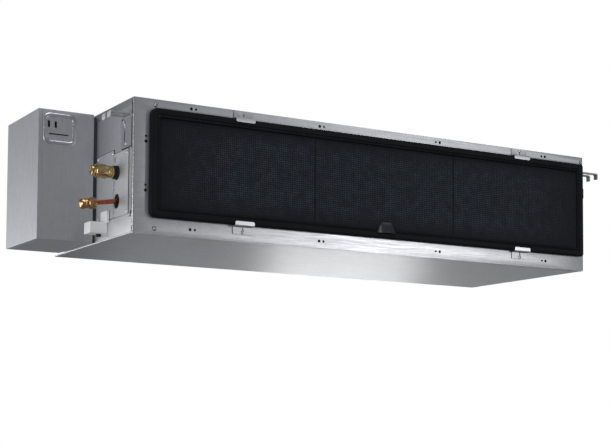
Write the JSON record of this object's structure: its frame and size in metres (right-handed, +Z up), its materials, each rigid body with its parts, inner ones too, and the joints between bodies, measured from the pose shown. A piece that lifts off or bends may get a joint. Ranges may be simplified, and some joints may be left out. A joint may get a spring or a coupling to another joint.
{
  "type": "ducted air conditioner",
  "caption": "Low galvanised ducted fan coil unit with a front return filter, slanted coil, centrifugal blowers, side control box, pipe stubs, drain outlet and hanger lugs.",
  "frame": {"origin": "centre of the bottom panel's underside", "axes": "+Z up, +X along the width away from the control box, +Y from the return filter to the discharge collar"},
  "size_m": [1.326, 0.4756, 0.27],
  "materials": {
    "galvanised": "galvanised sheet, satin",
    "zinc": "bright zinc plate",
    "black_plastic": "moulded, matte",
    "filter_cloth": "woven nylon mesh",
    "brass": "machined",
    "copper": "drawn copper tube",
    "rubber": "moulded",
    "white_plastic": "moulded",
    "foam": "closed-cell foam",
    "fins": "stamped fin stock",
    "grey_paint": "dark grey enamel",
    "board": "solder-masked board"
  },
  "bodies": {
    "casing": {"top_panel": "galvanised", "top_insulation": "foam", "bottom_panel": "galvanised", "left_side_panel": "galvanised", "right_side_panel": "galvanised", "return_frame": "galvanised", "discharge_panel": "galvanised", "discharge_collar": "galvanised", "pipe_cover_plate": "galvanised", "coil_cover_plate": "galvanised", "hanger_lug_front_left": "zinc", "hanger_lug_rear_left": "zinc", "hanger_lug_front_right": "zinc", "hanger_lug_rear_right": "zinc", "clip_screw_top_left": "zinc", "clip_screw_bottom_left": "zinc", "clip_screw_top_right": "zinc", "clip_screw_bottom_right": "zinc", "coil_end_plate_left": "galvanised", "coil_end_plate_right": "galvanised", "evaporator_fins": "fins", "coil_tubes_front": "copper", "coil_tubes_rear": "copper", "drain_pan": "white_plastic", "drain_outlet": "white_plastic", "gas_pipe": "copper", "gas_grommet": "rubber", "gas_union": "brass", "gas_header": "copper", "liquid_pipe": "copper", "liquid_grommet": "rubber", "liquid_distributor": "brass", "blower_housing_left": "galvanised", "blower_housing_right": "galvanised", "fan_motor": "grey_paint", "motor_cradle": "galvanised", "motor_strap": "zinc", "control_box_tray": "galvanised", "control_box_bracket": "galvanised", "cable_gland": "black_plastic", "control_board": "board", "terminal_block": "white_plastic", "transformer": "grey_paint", "run_capacitor": "fins"},
    "blower_rotor": {"motor_shaft": "zinc", "blower_wheel_left": "black_plastic", "blower_wheel_right": "black_plastic"},
    "filter": {"filter_frame": "black_plastic", "filter_mesh": "filter_cloth", "filter_pull_tab": "black_plastic"},
    "clip_top_left": {"filter_clip_top_left": "zinc"},
    "clip_bottom_left": {"filter_clip_bottom_left": "zinc"},
    "clip_top_right": {"filter_clip_top_right": "zinc"},
    "clip_bottom_right": {"filter_clip_bottom_right": "zinc"},
    "box_cover": {"control_box_cover": "galvanised"},
    "gas_nut": {"gas_flare_nut": "brass", "gas_cap": "brass"},
    "liquid_nut": {"liquid_flare_nut": "brass", "liquid_cap": "brass"},
    "plug": {"drain_plug": "rubber"}
  },
  "joints": [
    {"name": "blower_spin", "type": "hinge", "parent": "casing", "child": "blower_rotor", "pos_m": [0, 0.103, 0.122], "axis": [1, 0, 0], "continuous": true},
    {"name": "filter_slide", "type": "slide", "parent": "casing", "child": "filter", "axis": [1, 0, 0], "range_m": [0, 1.12]},
    {"name": "clip_top_left_slide", "type": "slide", "parent": "casing", "child": "clip_top_left", "axis": [0, 0, 1], "range_m": [0, 0.0075]},
    {"name": "clip_bottom_left_slide", "type": "slide", "parent": "casing", "child": "clip_bottom_left", "axis": [0, 0, -1], "range_m": [0, 0.0075]},
    {"name": "clip_top_right_slide", "type": "slide", "parent": "casing", "child": "clip_top_right", "axis": [0, 0, 1], "range_m": [0, 0.0075]},
    {"name": "clip_bottom_right_slide", "type": "slide", "parent": "casing", "child": "clip_bottom_right", "axis": [0, 0, -1], "range_m": [0, 0.0075]},
    {"name": "box_cover_pull", "type": "slide", "parent": "casing", "child": "box_cover", "axis": [-1, 0, 0], "range_m": [0, 0.15]},
    {"name": "gas_nut_turn", "type": "hinge", "parent": "casing", "child": "gas_nut", "pos_m": [-0.5961, -0.134, 0.131], "axis": [-1, 0, 0], "continuous": true},
    {"name": "liquid_nut_turn", "type": "hinge", "parent": "casing", "child": "liquid_nut", "pos_m": [-0.575, -0.134, 0.0735], "axis": [-0.9877, 0, -0.1564], "continuous": true},
    {"name": "drain_plug_pull", "type": "slide", "parent": "casing", "child": "plug", "axis": [0, 0, -1], "range_m": [0, 0.0065]}
  ]
}
